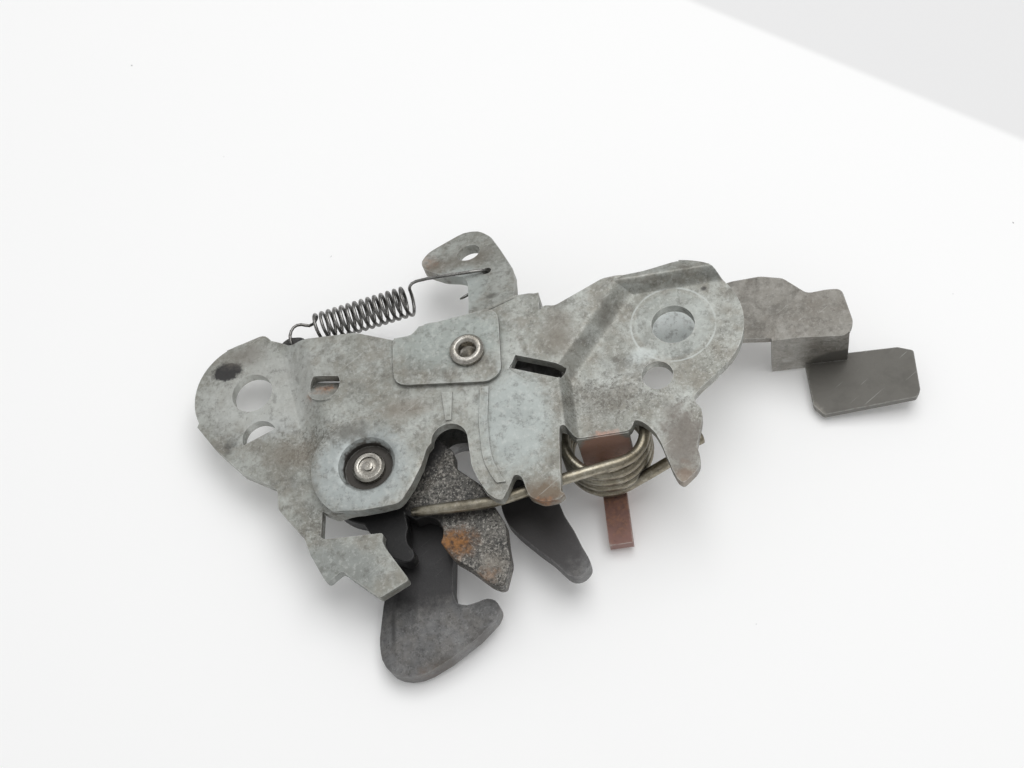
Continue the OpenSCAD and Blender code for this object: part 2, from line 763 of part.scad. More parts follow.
module release_spring() {
    r = release_wire / 2;
    mean = release_od / 2 - r;
    start = [arm_end[0] - 7.4, claw_front + 0.4, arm_end[1] - 5.3];
    finish = [lever_x + 15.4, bent_hole_y - 0.2, lever_z - 22.3];
    u = (finish - start) / norm(finish - start);
    v = cross(u, [0, 1, 0]) / norm(cross(u, [0, 1, 0]));
    w = cross(u, v);
    steps = 20 * release_turns;
    coil = [for (i = [0 : steps])
        start + (finish - start) * i / steps
        + mean * (cos(360 * release_turns * i / steps) * v
                  + sin(360 * release_turns * i / steps) * w)];
    arm_eye = [arm_end[0], claw_front, arm_end[1]];
    eye = [
        arm_eye + [0.4, claw_t + 1.2, 0], arm_eye + [0, claw_t, 0],
        arm_eye, arm_eye + [-0.4, -1, -0.4], arm_eye + [0.4, -1.5, -3.4],
        arm_eye + [-0.8, -1.4, -6.2], arm_eye + [-3, -1.2, -6.8], arm_eye + [-5.4, -0.8, -5.4],
        coil[0] + [0.5, 0, 1.6]
    ];
    neck_eye = [bent_hole[0], bent_hole_y, bent_hole[1]];
    hook = [
        coil[steps] + [-0.6, 0, -1.4], coil[steps] + [-3, -0.4, -2],
        neck_eye + [3, -1.2, 0.4], neck_eye + [0.8, -0.9, 0.1], neck_eye + [0, 0.3, 0],
        neck_eye + [0, sheet + 0.6, 0.4], neck_eye + [0.8, sheet + 1.5, 0.9],
        neck_eye + [3, sheet + 1.5, 2.2], neck_eye + [8.6, sheet + 0.8, 5.2]
    ];
    color(wire)
        bent_wire(concat(eye, coil, hook), [1, 0, 0], r, 8);
}

safety_wire = 0.9;

module safety_spring() {
    r = safety_wire / 2;
    mean = 6.2;
    y0 = claw_back + r + 0.12;
    y1 = hook_front - r - 0.12;
    steps = 48;
    sweep = 560;
    coil = [for (i = [0 : steps])
        let (a = 215 - sweep * i / steps)
        [lever_x + mean * cos(a), y0 + (y1 - y0) * i / steps, lever_z + mean * sin(a)]];
    on_lug = [[lug_x + lug_w + r + 0.1, y0, lug_z + 0.4], [lever_x - 8.4, y0, lever_z - 7.2]];
    under_hook = [lever_x + 10.8, y1, lever_z - 1.6];
    on_hook = [under_hook, under_hook + [0.6, 0.6, -0.2], under_hook + [0.7, 4, -0.2]];
    color(wire)
        bent_wire(concat(on_lug, coil, on_hook), [0, 1, 0], r, 8);
}

base_plate();
claw();
claw_rivet();
claw_washer();
claw_retainer();
release_lever();
lever_rivet();
front_spacer();
middle_spacer();
pivot_washer();
safety_hook();
finger_lever();
joining_rivets();
popup_spring();
release_spring();
safety_spring();
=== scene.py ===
"""Bonnet latch lying on a pale table: finishes, wire springs, light and camera around the frame."""

import json
import logging
import math
from dataclasses import dataclass, field
from enum import Enum

import bmesh
import bpy
from mathutils import Matrix, Vector

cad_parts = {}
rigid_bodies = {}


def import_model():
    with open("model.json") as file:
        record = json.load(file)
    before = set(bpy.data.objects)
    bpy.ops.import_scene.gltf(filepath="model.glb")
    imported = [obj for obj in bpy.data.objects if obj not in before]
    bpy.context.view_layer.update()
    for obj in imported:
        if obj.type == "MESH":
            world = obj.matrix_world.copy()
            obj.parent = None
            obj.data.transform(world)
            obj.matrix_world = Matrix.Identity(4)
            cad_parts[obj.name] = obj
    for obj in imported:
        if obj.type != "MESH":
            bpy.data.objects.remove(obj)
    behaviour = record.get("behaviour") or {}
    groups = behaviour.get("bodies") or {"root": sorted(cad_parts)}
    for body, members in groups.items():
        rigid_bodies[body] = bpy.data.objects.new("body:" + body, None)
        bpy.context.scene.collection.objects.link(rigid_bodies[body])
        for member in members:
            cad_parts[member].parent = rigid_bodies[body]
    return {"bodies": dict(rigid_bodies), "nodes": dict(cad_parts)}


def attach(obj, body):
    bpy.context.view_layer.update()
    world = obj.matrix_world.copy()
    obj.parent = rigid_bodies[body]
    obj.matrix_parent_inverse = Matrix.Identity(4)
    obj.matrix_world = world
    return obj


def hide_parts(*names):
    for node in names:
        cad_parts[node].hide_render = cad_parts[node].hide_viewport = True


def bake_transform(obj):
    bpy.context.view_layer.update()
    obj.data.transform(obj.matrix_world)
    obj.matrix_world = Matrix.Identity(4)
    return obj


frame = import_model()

LOG = logging.getLogger("latch")
MM = 0.001
SAME_PLACE = 1e-6

Colour = tuple[float, float, float]
Point = tuple[float, float, float]


def clear_start_objects() -> None:
    """Removes what Blender's start file holds besides the frame."""
    kept = {*frame["nodes"].values(), *frame["bodies"].values()}
    for thing in [o for o in bpy.data.objects if o not in kept]:
        bpy.data.objects.remove(thing)


clear_start_objects()
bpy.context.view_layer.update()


def srgb(red: float, green: float, blue: float) -> Colour:
    """Turns a colour as seen on a screen into linear values.

    Args:
        red: Red, from 0 to 255.
        green: Green, from 0 to 255.
        blue: Blue, from 0 to 255.

    Returns:
        The linear colour.
    """
    parts = [value / 255.0 for value in (red, green, blue)]
    return tuple(p / 12.92 if p <= 0.04045 else ((p + 0.055) / 1.055) ** 2.4 for p in parts)


class Graph:
    """Adds nodes to one node tree and links them."""

    def __init__(self, tree: bpy.types.NodeTree) -> None:
        """Keeps the tree that the nodes go into.

        Args:
            tree: The node tree of a material, a world or a group.
        """
        self.tree = tree

    def add(self, kind: str, **settings: object) -> bpy.types.Node:
        """Adds one node.

        Args:
            kind: Blender's name of the node type.
            settings: Properties to set on the node.

        Returns:
            The new node.
        """
        node = self.tree.nodes.new(kind)
        for name, value in settings.items():
            setattr(node, name, value)
        return node

    def feed(self, socket: bpy.types.NodeSocket, value: object) -> None:
        """Links an output to an input, or sets the input's own value.

        Args:
            socket: The input that takes the value.
            value: Another node's output, a number, a vector or a colour.
        """
        if isinstance(value, bpy.types.NodeSocket):
            self.tree.links.new(value, socket)
        elif socket.type == "RGBA" and len(value) == 3:
            socket.default_value = (*value, 1.0)
        else:
            socket.default_value = value

    def math(self, operation: str, a: object, b: object = 0.0, clamp: bool = False) -> bpy.types.NodeSocket:
        """Adds a Math node.

        Args:
            operation: Blender's name of the operation.
            a: First operand.
            b: Second operand.
            clamp: Whether the result is kept between 0 and 1.

        Returns:
            The result's socket.
        """
        node = self.add("ShaderNodeMath", operation=operation, use_clamp=clamp)
        self.feed(node.inputs[0], a)
        self.feed(node.inputs[1], b)
        return node.outputs[0]

    def vector(self, operation: str, a: object, b: object = (0.0, 0.0, 0.0)) -> bpy.types.Node:
        """Adds a Vector Math node, whose outputs are Vector and Value.

        Args:
            operation: Blender's name of the operation.
            a: First operand.
            b: Second operand.

        Returns:
            The node.
        """
        node = self.add("ShaderNodeVectorMath", operation=operation)
        self.feed(node.inputs[0], a)
        self.feed(node.inputs[1], b)
        return node

    def mix(self, factor: object, a: object, b: object) -> bpy.types.NodeSocket:
        """Mixes two colours.

        Args:
            factor: Share of the second colour.
            a: First colour.
            b: Second colour.

        Returns:
            The mixed colour's socket.
        """
        node = self.add("ShaderNodeMix", data_type="RGBA", clamp_factor=True)
        self.feed(node.inputs[0], factor)
        self.feed(node.inputs[6], a)
        self.feed(node.inputs[7], b)
        return node.outputs[2]

    def remap(self, value: object, low: object, high: object, to_low: float = 0.0,
              to_high: float = 1.0) -> bpy.types.NodeSocket:
        """Maps a range smoothly onto another.

        Args:
            value: The value to map.
            low: Start of the range that is read.
            high: End of the range that is read.
            to_low: Start of the range that comes out.
            to_high: End of the range that comes out.

        Returns:
            The mapped value's socket.
        """
        node = self.add("ShaderNodeMapRange", interpolation_type="SMOOTHSTEP")
        for socket, given in zip(node.inputs, (value, low, high, to_low, to_high)):
            self.feed(socket, given)
        return node.outputs[0]

    def noise(self, place: object, scale: object, detail: float = 3.0, roughness: float = 0.55,
              distortion: float = 0.0) -> bpy.types.NodeSocket:
        """Adds a Noise Texture.

        Args:
            place: Where the texture is read.
            scale: Waves per unit of place.
            detail: Number of finer layers.
            roughness: Weight of the finer layers.
            distortion: Swirl of the pattern.

        Returns:
            The noise value's socket.
        """
        node = self.add("ShaderNodeTexNoise")
        self.feed(node.inputs["Vector"], place)
        self.feed(node.inputs["Scale"], scale)
        node.inputs["Detail"].default_value = detail
        node.inputs["Roughness"].default_value = roughness
        node.inputs["Distortion"].default_value = distortion
        return node.outputs[0]

    def effect(self, tree: bpy.types.NodeTree, **values: object) -> bpy.types.NodeSocket:
        """Places a shared effect.

        Args:
            tree: The effect's node group.
            values: Its inputs by name.

        Returns:
            The effect's output.
        """
        node = self.add("ShaderNodeGroup", node_tree=tree)
        for name, value in values.items():
            self.feed(node.inputs[name], value)
        return node.outputs[0]

    def place_mm(self) -> bpy.types.NodeSocket:
        """Returns the object coordinates in millimetres."""
        coordinates = self.add("ShaderNodeTexCoord")
        return self.vector("MULTIPLY", coordinates.outputs["Object"], (1000.0,) * 3).outputs[0]


class Effect(Enum):
    """Surface effects that several finishes share."""

    SOFT_PATCH = "soft_patch"
    SPECKS = "specks"
    GRIME = "grime"
    EDGE_WEAR = "edge_wear"
    CREVICE_DIRT_AND_SHADE = "crevice"
    RING = "ring_mark"
    SCRATCHES = "scratches"
    GRAIN = "grain"


class EffectLibrary:
    """Builds each shared effect once, as a shader node group."""

    def __init__(self) -> None:
        """Builds every group."""
        self.trees: dict[Effect, bpy.types.NodeTree] = {
            Effect.SOFT_PATCH: self._soft_patch(),
            Effect.SPECKS: self._specks(),
            Effect.GRIME: self._grime(),
            Effect.EDGE_WEAR: self._edge_wear(),
            Effect.CREVICE_DIRT_AND_SHADE: self._crevice_dirt_and_shade(),
            Effect.RING: self._ring(),
            Effect.SCRATCHES: self._scratches(),
            Effect.GRAIN: self._grain(),
        }

    def __getitem__(self, effect: Effect) -> bpy.types.NodeTree:
        """Returns an effect's node group."""
        return self.trees[effect]

    @staticmethod
    def _start(effect: Effect, inputs: dict[str, str],
               output: str) -> tuple[Graph, bpy.types.Node, bpy.types.NodeSocket]:
        """Starts a node group.

        Args:
            effect: The effect that the group stands for.
            inputs: Socket types by input name.
            output: Name of the single output.

        Returns:
            The group's graph, its input node and the socket that takes its result.
        """
        tree = bpy.data.node_groups.new(effect.value, "ShaderNodeTree")
        for name, kind in inputs.items():
            tree.interface.new_socket(name=name, in_out="INPUT", socket_type=kind)
        tree.interface.new_socket(name=output, in_out="OUTPUT", socket_type="NodeSocketFloat")
        graph = Graph(tree)
        return graph, graph.add("NodeGroupInput"), graph.add("NodeGroupOutput").inputs[0]

    def _soft_patch(self) -> bpy.types.NodeTree:
        """Builds a soft-edged patch around a centre, with an outline that waves make ragged.

        Returns:
            The effect's node group.
        """
        graph, given, result = self._start(Effect.SOFT_PATCH, {
            "Place": "NodeSocketVector", "Waves": "NodeSocketFloat", "Centre": "NodeSocketVector",
            "Reach": "NodeSocketVector", "Ragged": "NodeSocketFloat", "Soft": "NodeSocketFloat"}, "Mask")
        away = graph.vector("SUBTRACT", given.outputs["Place"], given.outputs["Centre"]).outputs[0]
        ratio = graph.vector("DIVIDE", away, given.outputs["Reach"]).outputs[0]
        distance = graph.vector("LENGTH", ratio).outputs["Value"]
        swing = graph.math("SUBTRACT", given.outputs["Waves"], 0.5)
        shift = graph.math("MULTIPLY", swing, given.outputs["Ragged"])
        edge = graph.math("ADD", distance, shift)
        inner = graph.math("SUBTRACT", 1.0, given.outputs["Soft"])
        graph.feed(result, graph.remap(edge, 1.0, inner))
        return graph.tree

    def _specks(self) -> bpy.types.NodeTree:
        """Builds small scattered specks above a level.

        Returns:
            The effect's node group.
        """
        graph, given, result = self._start(Effect.SPECKS, {
            "Place": "NodeSocketVector", "Scale": "NodeSocketFloat", "Level": "NodeSocketFloat"}, "Mask")
        waves = graph.noise(given.outputs["Place"], given.outputs["Scale"], 3.0, 0.65)
        top = graph.math("ADD", given.outputs["Level"], 0.12)
        graph.feed(result, graph.remap(waves, given.outputs["Level"], top))
        return graph.tree

    def _grime(self) -> bpy.types.NodeTree:
        """Builds broken patches of dirt above a level.

        Returns:
            The effect's node group.
        """
        graph, given, result = self._start(Effect.GRIME, {
            "Place": "NodeSocketVector", "Scale": "NodeSocketFloat", "Level": "NodeSocketFloat",
            "Soft": "NodeSocketFloat"}, "Mask")
        waves = graph.noise(given.outputs["Place"], given.outputs["Scale"], 7.0, 0.68, 0.4)
        top = graph.math("ADD", given.outputs["Level"], given.outputs["Soft"])
        graph.feed(result, graph.remap(waves, given.outputs["Level"], top))
        return graph.tree

    def _edge_wear(self) -> bpy.types.NodeTree:
        """Builds a broken mask along edges and corners.

        Returns:
            The effect's node group.
        """
        graph, given, result = self._start(Effect.EDGE_WEAR, {
            "Place": "NodeSocketVector", "Width": "NodeSocketFloat"}, "Mask")
        round_edge = graph.add("ShaderNodeBevel", samples=6)
        graph.feed(round_edge.inputs["Radius"], given.outputs["Width"])
        plain = graph.add("ShaderNodeNewGeometry").outputs["Normal"]
        match = graph.vector("DOT_PRODUCT", round_edge.outputs[0], plain).outputs["Value"]
        bend = graph.remap(match, 0.985, 0.86)
        broken = graph.remap(graph.noise(given.outputs["Place"], 0.9, 5.0, 0.65), 0.34, 0.62, 0.15, 1.0)
        graph.feed(result, graph.math("MULTIPLY", bend, broken, True))
        return graph.tree

    def _crevice_dirt_and_shade(self) -> bpy.types.NodeTree:
        """Builds a mask of corners and gaps from ambient occlusion, for grime there and painted shade.

        Returns:
            The effect's node group.
        """
        graph, given, result = self._start(Effect.CREVICE_DIRT_AND_SHADE, {
            "Place": "NodeSocketVector", "Reach": "NodeSocketFloat"}, "Mask")
        open_sky = graph.add("ShaderNodeAmbientOcclusion", samples=6)
        graph.feed(open_sky.inputs["Distance"], given.outputs["Reach"])
        closed = graph.remap(open_sky.outputs["AO"], 0.84, 0.35)
        broken = graph.remap(graph.noise(given.outputs["Place"], 0.7, 5.0, 0.65), 0.3, 0.6, 0.45, 1.0)
        graph.feed(result, graph.math("MULTIPLY", closed, broken, True))
        return graph.tree

    def _ring(self) -> bpy.types.NodeTree:
        """Builds the thin mark that a washer leaves round a hole.

        Returns:
            The effect's node group.
        """
        graph, given, result = self._start(Effect.RING, {
            "Place": "NodeSocketVector", "Centre": "NodeSocketVector", "Radius": "NodeSocketFloat",
            "Width": "NodeSocketFloat"}, "Mask")
        away = graph.vector("SUBTRACT", given.outputs["Place"], given.outputs["Centre"]).outputs[0]
        flat = graph.vector("MULTIPLY", away, (1.0, 0.0, 1.0)).outputs[0]
        off = graph.math("SUBTRACT", graph.vector("LENGTH", flat).outputs["Value"], given.outputs["Radius"])
        near = graph.remap(graph.math("ABSOLUTE", off), given.outputs["Width"], 0.0)
        broken = graph.remap(graph.noise(given.outputs["Place"], 0.25, 4.0, 0.6), 0.36, 0.56, 0.25, 1.0)
        graph.feed(result, graph.math("MULTIPLY", near, broken, True))
        return graph.tree

    def _scratches(self) -> bpy.types.NodeTree:
        """Builds thin scratches that run one way across the X and Z of the sheet.

        Returns:
            The effect's node group.
        """
        graph, given, result = self._start(Effect.SCRATCHES, {
            "Place": "NodeSocketVector", "Turn": "NodeSocketFloat", "Level": "NodeSocketFloat"}, "Mask")
        turned = graph.add("ShaderNodeVectorRotate", rotation_type="Y_AXIS")
        graph.feed(turned.inputs["Vector"], given.outputs["Place"])
        graph.feed(turned.inputs["Angle"], given.outputs["Turn"])
        drawn = graph.vector("MULTIPLY", turned.outputs[0], (0.07, 0.4, 2.4)).outputs[0]
        top = graph.math("ADD", given.outputs["Level"], 0.06)
        graph.feed(result, graph.remap(graph.noise(drawn, 1.0, 2.0, 0.5), given.outputs["Level"], top))
        return graph.tree

    def _grain(self) -> bpy.types.NodeTree:
        """Builds the height of a fine uneven grain.

        Returns:
            The effect's node group.
        """
        graph, given, result = self._start(Effect.GRAIN, {
            "Place": "NodeSocketVector", "Scale": "NodeSocketFloat"}, "Height")
        fine = graph.noise(given.outputs["Place"], given.outputs["Scale"], 4.0, 0.6)
        wide = graph.noise(given.outputs["Place"], 0.16, 2.0, 0.5)
        graph.feed(result, graph.math("ADD", fine, graph.math("MULTIPLY", wide, 1.5)))
        return graph.tree


@dataclass(frozen=True)
class Patch:
    """One stained, worn or cleaner place on a surface, or a place of painted light or shade, in millimetres
    of the frame.
    """

    centre: Point
    reach: Point
    colour: Colour = (0.0, 0.0, 0.0)
    strength: float = 1.0
    ragged: float = 0.8
    soft: float = 0.5


@dataclass(frozen=True)
class Ring:
    """Thin pale line that a washer left round a hole, in millimetres of the frame."""

    centre: Point
    radius: float
    width: float
    colour: Colour
    strength: float = 0.6


@dataclass(frozen=True)
class MetalFinish:
    """Metal surface with mottle, cleaner places and painted light, pitted zones, stained patches and painted
    shade, wear and rust.
    """

    name: str
    base: Colour
    shade: Colour
    warm: Colour
    pale: Colour
    dirt: Colour
    rust_dark: Colour = srgb(72, 44, 34)
    rust_light: Colour = srgb(150, 102, 62)
    mottle: float = 0.09
    warm_share: float = 0.4
    fine_share: float = 0.3
    smudge_share: float = 0.38
    pit_scale: float = 1.5
    pit_level: float = 0.58
    pit_share: float = 0.3
    pale_scale: float = 1.8
    pale_level: float = 0.58
    pale_share: float = 0.25
    grime_scale: float = 0.13
    grime_level: float = 0.5
    grime_strength: float = 0.42
    crevice_reach: float = 0.003
    crevice_strength: float = 0.75
    wear: Colour = srgb(196, 198, 194)
    wear_width: float = 0.0006
    wear_strength: float = 0.4
    scratch_turn: float = 0.6
    scratch_level: float = 0.68
    scratch_strength: float = 0.25
    metallic: float = 0.4
    roughness: float = 0.48
    grain_scale: float = 2.2
    grain_height: float = 0.00005
    grain_strength: float = 0.6
    clean_and_lit: tuple[Patch, ...] = ()
    zones: tuple[Patch, ...] = ()
    stains_and_shade: tuple[Patch, ...] = ()
    rings: tuple[Ring, ...] = ()
    rust: tuple[Patch, ...] = ()

    def _mask(self, graph: Graph, effects: EffectLibrary, place: bpy.types.NodeSocket,
              waves: bpy.types.NodeSocket, patch: Patch) -> bpy.types.NodeSocket:
        """Makes the mask of one patch.

        Args:
            graph: The material's graph.
            effects: The shared effects.
            place: Coordinates in millimetres.
            waves: The noise that makes outlines ragged.
            patch: The patch to place.

        Returns:
            The mask's socket, from 0 to the patch's strength.
        """
        mask = graph.effect(effects[Effect.SOFT_PATCH], Place=place, Waves=waves, Centre=patch.centre,
                            Reach=patch.reach, Ragged=patch.ragged, Soft=patch.soft)
        return graph.math("MULTIPLY", mask, patch.strength)

    def _smudged(self, graph: Graph, place: bpy.types.NodeSocket,
                 tone: bpy.types.NodeSocket) -> bpy.types.NodeSocket:
        """Adds small darker and paler smudges everywhere.

        Args:
            graph: The material's graph.
            place: Coordinates in millimetres.
            tone: The colour so far.

        Returns:
            The smudged colour.
        """
        dark = graph.remap(graph.noise(place, 0.5, 7.0, 0.74), 0.51, 0.63, 0.0, self.smudge_share)
        moved = graph.vector("ADD", place, (57.0, 23.0, 41.0)).outputs[0]
        pale = graph.remap(graph.noise(moved, 0.7, 7.0, 0.74), 0.51, 0.63, 0.0, 0.8 * self.smudge_share)
        return graph.mix(pale, graph.mix(dark, tone, self.dirt), self.pale)

    def _speckled(self, graph: Graph, effects: EffectLibrary, place: bpy.types.NodeSocket,
                  waves: bpy.types.NodeSocket, tone: bpy.types.NodeSocket,
                  clean_and_lit: object) -> bpy.types.NodeSocket:
        """Adds dark pits and pale specks, thick in the pitted zones and thin in cleaner places and
        painted-light places.

        Args:
            graph: The material's graph.
            effects: The shared effects.
            place: Coordinates in millimetres.
            waves: The noise that makes outlines ragged.
            tone: The colour so far.
            clean_and_lit: Mask of the cleaner places and of painted light.

        Returns:
            The speckled colour.
        """
        zone: object = 0.0
        for patch in self.zones:
            zone = graph.math("MAXIMUM", zone, self._mask(graph, effects, place, waves, patch))
        bare = graph.math("SUBTRACT", 1.0, graph.math("MULTIPLY", clean_and_lit, 0.85), True)
        level = graph.math("SUBTRACT", self.pit_level, graph.math("MULTIPLY", zone, 0.1))
        pits = graph.effect(effects[Effect.SPECKS], Place=place, Scale=self.pit_scale, Level=level)
        share = graph.math("ADD", self.pit_share, graph.math("MULTIPLY", zone, 0.3))
        share = graph.math("MULTIPLY", share, bare)
        tone = graph.mix(graph.math("MULTIPLY", pits, share), tone, self.dirt)
        shifted = graph.vector("ADD", place, (31.0, 17.0, 9.0)).outputs[0]
        level = graph.math("SUBTRACT", self.pale_level, graph.math("MULTIPLY", zone, 0.06))
        specks = graph.effect(effects[Effect.SPECKS], Place=shifted, Scale=self.pale_scale, Level=level)
        share = graph.math("ADD", self.pale_share, graph.math("MULTIPLY", zone, 0.15))
        share = graph.math("MULTIPLY", share, bare)
        return graph.mix(graph.math("MULTIPLY", specks, share), tone, self.pale)

    def material(self, effects: EffectLibrary) -> bpy.types.Material:
        """Builds the material.

        Args:
            effects: The shared effects.

        Returns:
            The new material.
        """
        made = bpy.data.materials.new(self.name)
        made.use_nodes = True
        graph = Graph(made.node_tree)
        shader = made.node_tree.nodes["Principled BSDF"]
        place = graph.place_mm()
        waves = graph.noise(place, 0.42, 6.0, 0.66)

        clouds = graph.remap(graph.noise(place, self.mottle, 5.0, 0.6), 0.36, 0.64)
        tone = graph.mix(clouds, self.base, self.shade)
        tinge = graph.remap(graph.noise(place, 0.21, 5.0, 0.65), 0.42, 0.66, 0.0, self.warm_share)
        tone = graph.mix(tinge, tone, self.warm)
        fine = graph.remap(graph.noise(place, 0.62, 5.0, 0.7), 0.44, 0.72, 0.0, self.fine_share)
        tone = graph.mix(fine, tone, self.dirt)
        dirt = graph.effect(effects[Effect.GRIME], Place=place, Scale=self.grime_scale,
                            Level=self.grime_level, Soft=0.2)
        dirt = graph.math("MULTIPLY", dirt, self.grime_strength)
        tone = graph.mix(dirt, tone, self.dirt)
        clean_and_lit: object = 0.0
        for patch in self.clean_and_lit:
            mask = self._mask(graph, effects, place, waves, patch)
            tone = graph.mix(mask, tone, patch.colour)
            clean_and_lit = graph.math("MAXIMUM", clean_and_lit, mask)
        tone = self._smudged(graph, place, tone)
        tone = self._speckled(graph, effects, place, waves, tone, clean_and_lit)
        # Stained patches, some of which paint shade or shadow.
        for patch in self.stains_and_shade:
            tone = graph.mix(self._mask(graph, effects, place, waves, patch), tone, patch.colour)
        for ring in self.rings:
            line = graph.effect(effects[Effect.RING], Place=place, Centre=ring.centre, Radius=ring.radius,
                                Width=ring.width)
            tone = graph.mix(graph.math("MULTIPLY", line, ring.strength), tone, ring.colour)
        lines = graph.effect(effects[Effect.SCRATCHES], Place=place, Turn=self.scratch_turn,
                             Level=self.scratch_level)
        tone = graph.mix(graph.math("MULTIPLY", lines, self.scratch_strength), tone, self.wear)
        # Corners and gaps, found by ambient occlusion, darken towards the dirt colour: grime and painted
        # shade.
        corners = graph.effect(effects[Effect.CREVICE_DIRT_AND_SHADE], Place=place, Reach=self.crevice_reach)
        corners = graph.math("MULTIPLY", corners, self.crevice_strength)
        tone = graph.mix(corners, tone, self.dirt)
        worn = graph.effect(effects[Effect.EDGE_WEAR], Place=place, Width=self.wear_width)
        tone = graph.mix(graph.math("MULTIPLY", worn, self.wear_strength), tone, self.wear)

        rough = graph.math("ADD", graph.math("MULTIPLY", dirt, 0.2), self.roughness)
        rough = graph.math("ADD", rough, graph.math("MULTIPLY", corners, 0.2))
        metal: object = graph.math("SUBTRACT", self.metallic, graph.math("MULTIPLY", dirt, 0.3), True)
        if self.rust:
            colour = graph.mix(graph.remap(graph.noise(place, 0.9, 6.0, 0.7), 0.36, 0.62),
                               self.rust_dark, self.rust_light)
            for patch in self.rust:
                mask = self._mask(graph, effects, place, waves, patch)
                tone = graph.mix(mask, tone, colour)
                rough = graph.math("ADD", rough, graph.math("MULTIPLY", mask, 0.35), True)
                metal = graph.math("SUBTRACT", metal, mask, True)
        graph.feed(shader.inputs["Base Color"], tone)
        graph.feed(shader.inputs["Roughness"], rough)
        graph.feed(shader.inputs["Metallic"], metal)
        height = graph.effect(effects[Effect.GRAIN], Place=place, Scale=self.grain_scale)
        bump = graph.add("ShaderNodeBump")
        bump.inputs["Strength"].default_value = self.grain_strength
        bump.inputs["Distance"].default_value = self.grain_height
        graph.feed(bump.inputs["Height"], height)
        graph.feed(shader.inputs["Normal"], bump.outputs[0])
        return made


# Near-black, for dark marks on the plate and for painted shade on the claw.
SOOT_AND_SHADE: Colour = srgb(42, 41, 42)
# Mud brown, for dirt and for painted shade in the plate's fold.
MUD_AND_SHADE: Colour = srgb(92, 88, 80)
BROWN: Colour = srgb(112, 98, 82)

